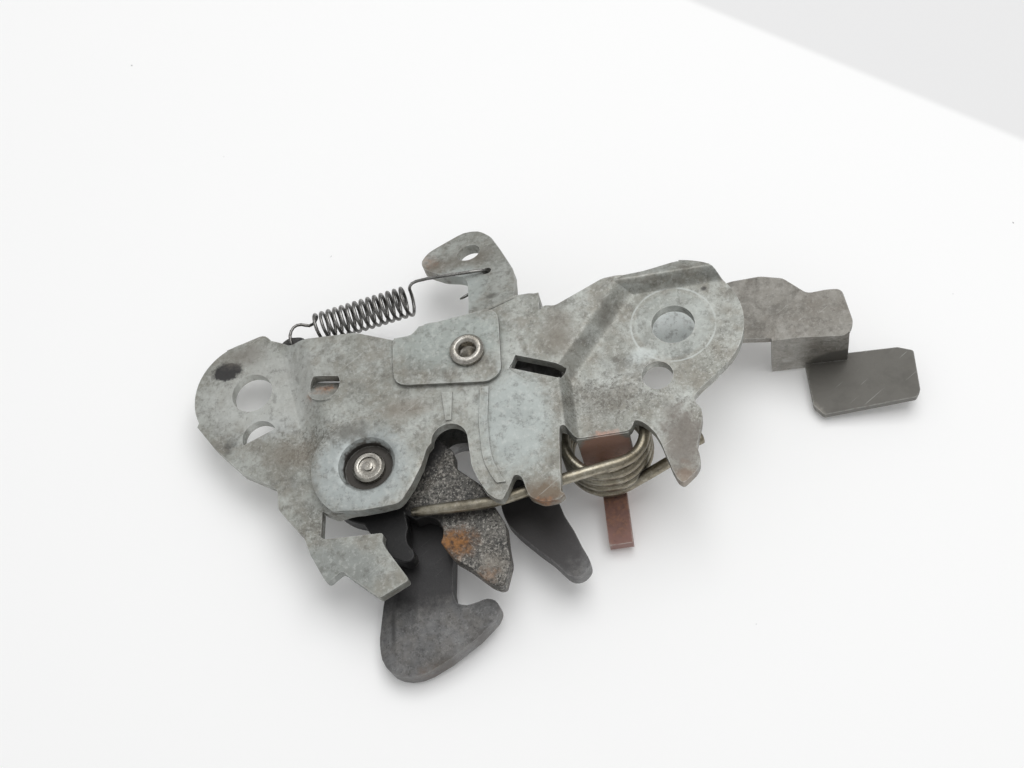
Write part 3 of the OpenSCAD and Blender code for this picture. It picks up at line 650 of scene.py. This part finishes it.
PLATE_FINISH = MetalFinish(
    name="stained_zinc_sheet",
    base=srgb(173, 176, 171), shade=srgb(144, 145, 138), warm=srgb(122, 115, 103), pale=srgb(200, 202, 198),
    dirt=srgb(78, 75, 69), warm_share=0.5,
    clean_and_lit=(
        Patch((25.5, -7.0, 29.0), (15.0, 12.0, 14.5), srgb(164, 171, 171), 0.75, 0.5, 0.4),
        Patch((-14.0, -7.0, 22.0), (11.5, 12.0, 18.0), srgb(171, 178, 176), 0.8, 0.6, 0.5),
        Patch((1.0, -8.0, -3.0), (19.0, 8.0, 10.0), srgb(153, 160, 156), 0.75, 0.6, 0.5),
        Patch((-2.0, -5.0, -22.0), (9.0, 12.0, 12.0), srgb(178, 185, 182), 0.75, 0.5, 0.4),
        Patch((-55.8, -3.0, 0.0), (10.3, 6.0, 10.3), srgb(158, 164, 161), 0.45, 0.15, 0.15),
        Patch((-47.0, -3.0, 7.5), (4.6, 6.0, 3.2), srgb(188, 194, 192), 0.7, 1.2, 0.7),
        Patch((50.0, -2.0, 11.0), (9.0, 6.0, 4.5), srgb(172, 176, 176), 0.6, 1.2, 0.7),
        Patch((50.0, -3.0, 1.0), (26.0, 9.0, 15.0), srgb(186, 188, 184), 0.62, 0.8, 0.5),
        Patch((36.0, 3.0, 54.0), (18.0, 12.0, 11.0), srgb(129, 133, 130), 0.7, 0.4, 0.3),
    ),
    zones=(
        Patch((-38.0, -5.0, 18.0), (24.0, 12.0, 11.0), ragged=1.2, soft=0.8),
        Patch((-56.0, -3.0, 31.0), (9.0, 9.0, 16.0), ragged=1.0, soft=0.7),
        Patch((38.0, -5.0, 19.0), (22.0, 10.0, 9.0), ragged=1.2, soft=0.8),
        Patch((-66.0, -3.0, 12.0), (9.0, 9.0, 14.0), ragged=1.0, soft=0.8, strength=0.6),
        Patch((38.0, -3.0, 40.0), (9.0, 12.0, 9.0), ragged=1.0, soft=0.8, strength=0.7),
    ),
    stains_and_shade=(
        Patch((62.6, -4.2, -7.7), (5.4, 2.6, 3.6), SOOT_AND_SHADE, 0.95, 1.0, 0.25),
        Patch((62.0, -4.2, 15.1), (3.2, 2.6, 2.8), SOOT_AND_SHADE, 0.75, 1.8, 0.7),
        Patch((-65.0, -4.2, -9.0), (1.3, 2.6, 1.1), SOOT_AND_SHADE, 0.8, 0.8, 0.5),
        Patch((24.4, -2.6, 27.2), (12.0, 5.2, 12.0), srgb(50, 44, 40), 0.95, 1.0, 0.3),
        Patch((27.5, -7.0, 19.0), (9.0, 8.0, 4.5), MUD_AND_SHADE, 0.65, 2.4, 0.8),
        Patch((-37.0, -5.0, 18.5), (16.0, 10.0, 6.5), MUD_AND_SHADE, 0.5, 2.6, 0.9),
        # Darker brown on the fold's slope and in its valley: dirt and painted shade.
        Patch((-27.0, -5.0, 0.0), (6.0, 10.0, 11.0), srgb(112, 104, 93), 0.6, 1.6, 0.8),
        Patch((-39.0, -3.0, -6.0), (4.0, 8.0, 9.0), MUD_AND_SHADE, 0.6, 1.4, 0.9),
        Patch((-54.0, -3.0, 33.0), (8.0, 8.0, 14.0), srgb(112, 106, 99), 0.85, 1.6, 0.7),
        Patch((14.0, -7.0, 14.0), (10.0, 8.0, 4.0), BROWN, 0.45, 1.8, 0.8),
        Patch((46.0, -4.0, 20.0), (12.0, 8.0, 6.0), srgb(118, 110, 98), 0.6, 2.0, 0.8),
        Patch((58.0, -3.0, -12.0), (9.0, 8.0, 5.0), srgb(118, 112, 104), 0.6, 1.6, 0.8),
        Patch((-19.4, -7.0, 43.0), (9.0, 6.0, 5.0), srgb(104, 88, 70), 0.85, 1.4, 0.7),
        Patch((-9.0, -7.0, 46.0), (4.0, 6.0, 4.0), srgb(104, 88, 70), 0.6, 1.4, 0.8),
        Patch((-53.0, -3.0, 43.0), (3.6, 6.0, 6.0), srgb(126, 104, 86), 0.55, 1.4, 0.7),
        Patch((6.0, 2.0, -33.5), (4.6, 9.0, 4.6), srgb(104, 90, 74), 0.7, 1.8, 0.8),
        Patch((-4.0, 0.0, -34.0), (12.0, 10.0, 5.0), srgb(108, 101, 90), 0.6, 1.6, 0.8),
        Patch((-9.8, -4.0, -15.8), (3.6, 4.0, 1.5), srgb(84, 82, 76), 0.7, 2.4, 0.8),
        Patch((-34.8, 9.0, 28.8), (9.0, 14.0, 5.2), srgb(176, 138, 121), 0.97, 0.5, 0.2),
        Patch((-34.8, 19.5, 38.0), (8.0, 6.0, 15.0), srgb(122, 88, 80), 0.97, 0.5, 0.2),
    ),
    rings=(
        Ring((-55.8, -3.0, 0.0), 10.7, 0.4, srgb(192, 197, 195), 0.6),
    ),
    rust=(
        Patch((36.0, -2.0, 5.4), (6.4, 4.6, 4.6), strength=0.9, ragged=0.8, soft=0.4),
        Patch((-18.5, -7.0, 45.6), (5.0, 6.0, 2.4), strength=0.6, ragged=1.6, soft=0.7),
        Patch((8.0, 2.0, -36.5), (4.0, 9.0, 5.0), strength=0.3, ragged=1.8, soft=0.8),
        Patch((-34.8, 14.0, 34.0), (9.0, 14.0, 17.0), strength=0.45, ragged=2.4, soft=0.9),
    ),
)
LEVER_FINISH = MetalFinish(
    name="dull_lever_sheet",
    base=srgb(150, 148, 142), shade=srgb(128, 125, 118), warm=srgb(110, 103, 94), pale=srgb(170, 168, 163),
    dirt=srgb(74, 70, 63), roughness=0.52, metallic=0.35, wear_strength=0.3, pit_share=0.35,
    clean_and_lit=(
        # Pale patch on the lever behind the right wing's hole: painted light where the wing shades the lever.
        Patch((-55.7, 12.2, -7.8), (10.0, 1.6, 10.0), srgb(222, 228, 227), 0.9, 0.5, 0.3),
    ),
    stains_and_shade=(
        Patch((-104.0, 28.0, 8.0), (17.0, 8.0, 16.0), srgb(90, 88, 83), 0.95, 0.3, 0.15),
    ),
)
CLAW_FINISH = MetalFinish(
    name="rusting_claw_steel",
    base=srgb(104, 102, 97), shade=srgb(74, 73, 70), warm=srgb(84, 76, 66), pale=srgb(182, 178, 170),
    dirt=srgb(24, 24, 24), pit_level=0.48, pit_share=0.75, pale_level=0.53, pale_share=0.55,
    rust_dark=srgb(74, 52, 36), rust_light=srgb(146, 100, 52), roughness=0.5, metallic=0.3, wear_strength=0.3,
    scratch_strength=0.0,
    clean_and_lit=(
        Patch((-4.0, 0.4, 56.0), (5.0, 6.0, 6.0), srgb(150, 144, 134), 0.55, 2.2, 0.9),
    ),
    stains_and_shade=(
        # Near-black on the claw's top in the slot, under the spring leg and on the upper prong: painted shade
        # and painted shadow.
        Patch((17.0, 0.4, 20.0), (15.0, 12.0, 12.0), SOOT_AND_SHADE, 0.95, 0.6, 0.4),
        Patch((12.5, 1.0, 42.5), (6.5, 9.0, 5.5), srgb(30, 30, 30), 0.95, 0.6, 0.5),
        Patch((30.0, 2.0, 46.0), (18.0, 12.0, 26.0), srgb(24, 24, 25), 0.98, 0.3, 0.2),
    ),
    rust=(
        Patch((4.6, 0.4, 49.2), (7.4, 6.0, 5.4), strength=0.9, ragged=1.1, soft=0.8),
        Patch((-3.0, 0.4, 58.5), (3.5, 6.0, 3.0), strength=0.35, ragged=1.8, soft=0.8),
    ),
)
HOOK_FINISH = MetalFinish(
    name="dark_phosphate_coat",
    base=srgb(112, 112, 112), shade=srgb(96, 96, 96), warm=srgb(98, 93, 86), pale=srgb(146, 146, 145),
    dirt=srgb(44, 43, 43), pit_level=0.56, pit_share=0.4, pale_level=0.6, pale_share=0.35, roughness=0.46,
    metallic=0.4, wear=srgb(150, 149, 147), wear_strength=0.35, scratch_strength=0.12,
    stains_and_shade=(
        # Darker on the upper part near the plate: dark coat and painted shade.
        Patch((14.0, 7.0, 44.0), (46.0, 14.0, 22.0), srgb(46, 45, 46), 0.92, 0.4, 0.35),
        Patch((-15.0, 7.0, 38.0), (20.0, 14.0, 30.0), srgb(54, 52, 52), 0.94, 0.5, 0.4),
        Patch((10.0, 8.0, 80.0), (12.0, 10.0, 5.0), srgb(96, 80, 66), 0.6, 2.4, 0.9),
        # Thin dark brown lines along the lower right edge: brown grime and painted shade on the edge.
        Patch((17.0, 9.0, 81.0), (8.0, 10.0, 2.6), srgb(70, 62, 55), 0.75, 0.8, 0.8),
        Patch((8.5, 10.0, 76.5), (7.0, 10.0, 3.0), srgb(72, 66, 60), 0.75, 0.8, 0.8),
        Patch((-0.5, 10.0, 71.0), (6.0, 10.0, 3.0), srgb(72, 68, 64), 0.75, 0.8, 0.8),
        # Dark line inside the left edge: painted shade standing in for a bevel.
        Patch((22.8, 8.0, 66.0), (1.0, 8.0, 11.0), srgb(64, 63, 63), 0.8, 0.3, 0.9),
    ),
)
DARK_FINISH = MetalFinish(
    name="dark_lever_coat",
    base=srgb(84, 84, 84), shade=srgb(66, 66, 66), warm=srgb(76, 71, 65), pale=srgb(112, 112, 111),
    dirt=srgb(36, 35, 35), roughness=0.48, metallic=0.4, wear=srgb(140, 139, 137), wear_strength=0.4,
)
RIVET_FINISH = MetalFinish(
    name="bright_rivet_plating",
    base=srgb(190, 187, 180), shade=srgb(168, 164, 155), warm=srgb(158, 150, 136), pale=srgb(206, 205, 201),
    dirt=srgb(76, 69, 60), grime_strength=0.3, roughness=0.26, metallic=0.95, crevice_reach=0.0016,
)
SPRING_FINISH = MetalFinish(
    name="yellowed_spring_wire",
    base=srgb(163, 158, 143), shade=srgb(133, 126, 110), warm=srgb(122, 112, 92), pale=srgb(196, 192, 180),
    dirt=srgb(64, 57, 47), grime_strength=0.35, roughness=0.32, metallic=0.85, crevice_strength=0.9,
    crevice_reach=0.0025,
)
FINE_WIRE_FINISH = MetalFinish(
    name="drawn_fine_wire",
    base=srgb(150, 149, 147), shade=srgb(112, 111, 109), warm=srgb(104, 100, 94), pale=srgb(180, 179, 176),
    dirt=srgb(44, 43, 42), grime_strength=0.5, roughness=0.26, metallic=0.95, crevice_reach=0.002,
)


@dataclass
class PressedParts:
    """CAD nodes that keep their solids and get softened edges and a finish."""

    edge: float = 0.4 * MM
    rivet_edge: float = 0.2 * MM
    edge_steps: int = 2
    flat_angle: float = math.radians(0.2)
    sharp_angle: float = math.radians(28)
    normal_weight: int = 60
    sheets: dict[str, MetalFinish] = field(default_factory=lambda: {
        "base_plate": PLATE_FINISH,
        "finger_lever": LEVER_FINISH,
        "claw": CLAW_FINISH,
        "release_lever": DARK_FINISH,
        "safety_hook": HOOK_FINISH,
    })
    rivets: tuple[str, ...] = (
        "claw_rivet", "claw_washer", "claw_retainer", "lever_rivet", "front_spacer", "middle_spacer",
        "pivot_washer", "joining_rivets",
    )

    def _soften(self, node: bpy.types.Object, width: float, merge_flats: bool) -> None:
        """Rounds the edges of a node with live modifiers.

        Args:
            node: The CAD node.
            width: Width of the rounded edges, in metres.
            merge_flats: Whether the triangles of each flat face are joined first.
        """
        node.data.polygons.foreach_set("use_smooth", [True] * len(node.data.polygons))
        weld = node.modifiers.new("weld", "WELD")
        weld.merge_threshold = SAME_PLACE
        if merge_flats:
            flat = node.modifiers.new("flat_faces", "DECIMATE")
            flat.decimate_type = "DISSOLVE"
            flat.angle_limit = self.flat_angle
        bevel = node.modifiers.new("soft_edges", "BEVEL")
        bevel.width = width
        bevel.segments = self.edge_steps
        bevel.limit_method = "ANGLE"
        bevel.angle_limit = self.sharp_angle
        bevel.use_clamp_overlap = True
        normals = node.modifiers.new("even_normals", "WEIGHTED_NORMAL")
        normals.weight = self.normal_weight

    def build(self, dresser: "Dresser") -> None:
        """Softens and dresses every node.

        Args:
            dresser: Holds the materials.
        """
        for name, finish in self.sheets.items():
            self._soften(frame["nodes"][name], self.edge, True)
            dresser.dress(frame["nodes"][name], finish)
        for name in self.rivets:
            self._soften(frame["nodes"][name], self.rivet_edge, False)
            dresser.dress(frame["nodes"][name], RIVET_FINISH)


@dataclass
class WireSpring:
    """Wire spring that stands for a CAD node."""

    node: str
    slot: str
    finish: MetalFinish
    moving: str = ""
    start: Point = (0.0, 0.0, 0.0)
    end: Point = (0.0, 0.0, 0.0)
    round_levels: int = 1

    def _mesh(self) -> bpy.types.Mesh:
        """Makes a round-wire mesh from the node's solid.

        Returns:
            The new mesh.
        """
        shape = bmesh.new()
        shape.from_mesh(frame["nodes"][self.node].data)
        bmesh.ops.remove_doubles(shape, verts=shape.verts, dist=SAME_PLACE)
        bmesh.ops.join_triangles(shape, faces=shape.faces, angle_face_threshold=math.radians(30),
                                 angle_shape_threshold=math.radians(60))
        bmesh.ops.recalc_face_normals(shape, faces=shape.faces)
        for face in shape.faces:
            face.smooth = True
        mesh = bpy.data.meshes.new(f"{self.node}_wire")
        shape.to_mesh(mesh)
        shape.free()
        return mesh

    def build(self, dresser: "Dresser") -> None:
        """Builds the wire, rides it on the base body or only bakes its place, and hides the CAD node.

        Args:
            dresser: Holds the materials.
        """
        wire = bpy.data.objects.new(f"{self.node}_wire", self._mesh())
        bpy.context.scene.collection.objects.link(wire)
        smooth = wire.modifiers.new("round_wire", "SUBSURF")
        smooth.levels = smooth.render_levels = self.round_levels
        dresser.dress(wire, self.finish)
        if self.moving:
            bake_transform(wire)
        else:
            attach(wire, "base")
        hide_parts(self.node)


class Dresser:
    """Makes each finish's material once and gives it to pieces."""

    def __init__(self, effects: EffectLibrary) -> None:
        """Keeps the shared effects.

        Args:
            effects: The shared effects.
        """
        self.effects = effects
        self.made: dict[str, bpy.types.Material] = {}

    def dress(self, piece: bpy.types.Object, finish: MetalFinish) -> None:
        """Gives a piece its material.

        Args:
            piece: The object to dress.
            finish: Its finish.
        """
        if finish.name not in self.made:
            self.made[finish.name] = finish.material(self.effects)
        piece.data.materials.clear()
        piece.data.materials.append(self.made[finish.name])
        LOG.info("%s: %s", piece.name, finish.name)


@dataclass
class Table:
    """Pale table top that the latch lies on, seen from above only."""

    normal: Point = (-0.1407, -0.9897, -0.0255)
    offset: float = 18.3 * MM
    half: float = 1.2
    colour: Colour = (0.88, 0.882, 0.88)
    beyond: Colour = (0.72, 0.72, 0.722)
    glow: float = 0.08
    speck_colour: Colour = srgb(165, 165, 165)
    shade_share: float = 0.975
    roughness: float = 0.6
    specular: float = 0.2
    edge_way: Point = (0.5358, 0.6049, 0.5891)
    edge_at: float = -105.5
    edge_soft: float = 1.2

    def _material(self) -> bpy.types.Material:
        """Makes the table's material, which lets the latch's back show from behind.

        Returns:
            The new material.
        """
        made = bpy.data.materials.new("pale_table_top")
        made.use_nodes = True
        graph = Graph(made.node_tree)
        shader = made.node_tree.nodes["Principled BSDF"]
        place = graph.place_mm()
        speck = graph.remap(graph.noise(place, 0.3, 2.0, 0.5), 0.8, 0.815)
        dull = tuple(self.shade_share * c for c in self.colour)
        tone = graph.mix(graph.noise(place, 0.004, 3.0), self.colour, dull)
        across = graph.vector("DOT_PRODUCT", place, self.edge_way).outputs["Value"]
        past = graph.remap(across, self.edge_at + self.edge_soft, self.edge_at - self.edge_soft)
        tone = graph.mix(past, tone, self.beyond)
        graph.feed(shader.inputs["Base Color"], graph.mix(speck, tone, self.speck_colour))
        shader.inputs["Roughness"].default_value = self.roughness
        shader.inputs["Specular IOR Level"].default_value = self.specular
        ray = graph.add("ShaderNodeLightPath")
        seen = graph.math("MAXIMUM", ray.outputs["Is Camera Ray"], ray.outputs["Is Glossy Ray"])
        seen = graph.math("MAXIMUM", seen, ray.outputs["Is Transmission Ray"])
        shader.inputs["Emission Color"].default_value = (1.0, 1.0, 1.0, 1.0)
        graph.feed(shader.inputs["Emission Strength"], graph.math("MULTIPLY", seen, self.glow))
        clear = graph.add("ShaderNodeBsdfTransparent")
        side = graph.add("ShaderNodeNewGeometry")
        blend = graph.add("ShaderNodeMixShader")
        graph.feed(blend.inputs[0], side.outputs["Backfacing"])
        graph.feed(blend.inputs[1], shader.outputs[0])
        graph.feed(blend.inputs[2], clear.outputs[0])
        graph.feed(made.node_tree.nodes["Material Output"].inputs["Surface"], blend.outputs[0])
        return made

    def build(self) -> None:
        """Builds the table top as a stage."""
        up = Vector(self.normal).normalized()
        shape = bmesh.new()
        bmesh.ops.create_grid(shape, x_segments=1, y_segments=1, size=self.half)
        turn = up.to_track_quat("Z", "Y").to_matrix().to_4x4()
        bmesh.ops.transform(shape, matrix=Matrix.Translation(-up * self.offset) @ turn, verts=shape.verts)
        mesh = bpy.data.meshes.new("table_top")
        shape.to_mesh(mesh)
        shape.free()
        top = bpy.data.objects.new("table_top", mesh)
        bpy.context.scene.collection.objects.link(top)
        mesh.materials.append(self._material())
        top.visible_shadow = False


@dataclass
class Studio:
    """Soft light and the camera of the photograph."""

    lens: float = 46.76
    sensor: float = 36.0
    near: float = 0.01
    eye: Point = (-0.05358, -0.29583, 0.17341)
    right: Point = (-0.980, 0.180, 0.081)
    down: Point = (0.158, 0.465, 0.871)
    key_way: Point = (-0.3, -0.9, -0.25)
    key_away: float = 0.9
    key_size: float = 0.75
    key_power: float = 4.7
    behind_way: Point = (-0.3, 0.8, 0.5)
    behind_away: float = 0.9
    behind_size: float = 0.8
    behind_power: float = 5.0
    sky_low: float = 0.38
    sky_high: float = 0.6

    def _camera(self) -> None:
        """Sets the camera at the photograph's place and angle."""
        data = bpy.data.cameras.new("view")
        data.lens = self.lens
        data.sensor_width = self.sensor
        data.clip_start = self.near
        camera = bpy.data.objects.new("view", data)
        bpy.context.scene.collection.objects.link(camera)
        right = Vector(self.right).normalized()
        up = -Vector(self.down)
        up = (up - right * up.dot(right)).normalized()
        back = right.cross(up)
        turn = Matrix((right, up, back)).transposed().to_4x4()
        camera.matrix_world = Matrix.Translation(Vector(self.eye)) @ turn
        bpy.context.scene.camera = camera

    def _lamp(self, name: str, way: Point, away: float, size: float, power: float) -> None:
        """Adds a square soft light that points at the latch.

        Args:
            name: Name of the lamp.
            way: Direction from the latch to the lamp.
            away: Distance, in metres.
            size: Side of the square, in metres.
            power: Power, in watts.
        """
        data = bpy.data.lights.new(name, "AREA")
        data.size = size
        data.energy = power
        lamp = bpy.data.objects.new(name, data)
        lamp.location = Vector(way).normalized() * away
        lamp.rotation_mode = "QUATERNION"
        lamp.rotation_quaternion = Vector(way).to_track_quat("Z", "Y")
        bpy.context.scene.collection.objects.link(lamp)

    def _sky(self) -> None:
        """Sets a pale surround that is brighter above the table."""
        world = bpy.data.worlds.new("pale_room")
        bpy.context.scene.world = world
        world.use_nodes = True
        graph = Graph(world.node_tree)
        way = graph.add("ShaderNodeTexCoord").outputs["Generated"]
        height = graph.vector("DOT_PRODUCT", way, (0.0, -1.0, 0.0)).outputs["Value"]
        shade = graph.remap(height, -0.1, 0.8, self.sky_low, self.sky_high)
        ground = world.node_tree.nodes["Background"]
        graph.feed(ground.inputs["Color"], graph.mix(shade, (0.0, 0.0, 0.0), (1.0, 1.0, 1.0)))

    def build(self) -> None:
        """Builds light and camera."""
        bpy.context.scene.view_settings.view_transform = "Standard"
        self._camera()
        self._sky()
        self._lamp("key", self.key_way, self.key_away, self.key_size, self.key_power)
        self._lamp("behind", self.behind_way, self.behind_away, self.behind_size, self.behind_power)


def main() -> None:
    """Builds the scene in order."""
    logging.basicConfig(level=logging.INFO, format="%(name)s: %(message)s")
    Studio().build()
    Table().build()
    dresser = Dresser(EffectLibrary())
    PressedParts().build(dresser)
    WireSpring("popup_spring", "spring_wire", SPRING_FINISH).build(dresser)
    WireSpring("release_spring", "fine_wire", FINE_WIRE_FINISH, "release",
               (6.0, -1.8, -25.0), (41.0, 1.0, -18.5)).build(dresser)
    WireSpring("safety_spring", "fine_wire", FINE_WIRE_FINISH, "safety",
               (-12.0, 6.4, -6.0), (6.0, 7.0, -1.0)).build(dresser)


if __name__ == "__main__":
    main()
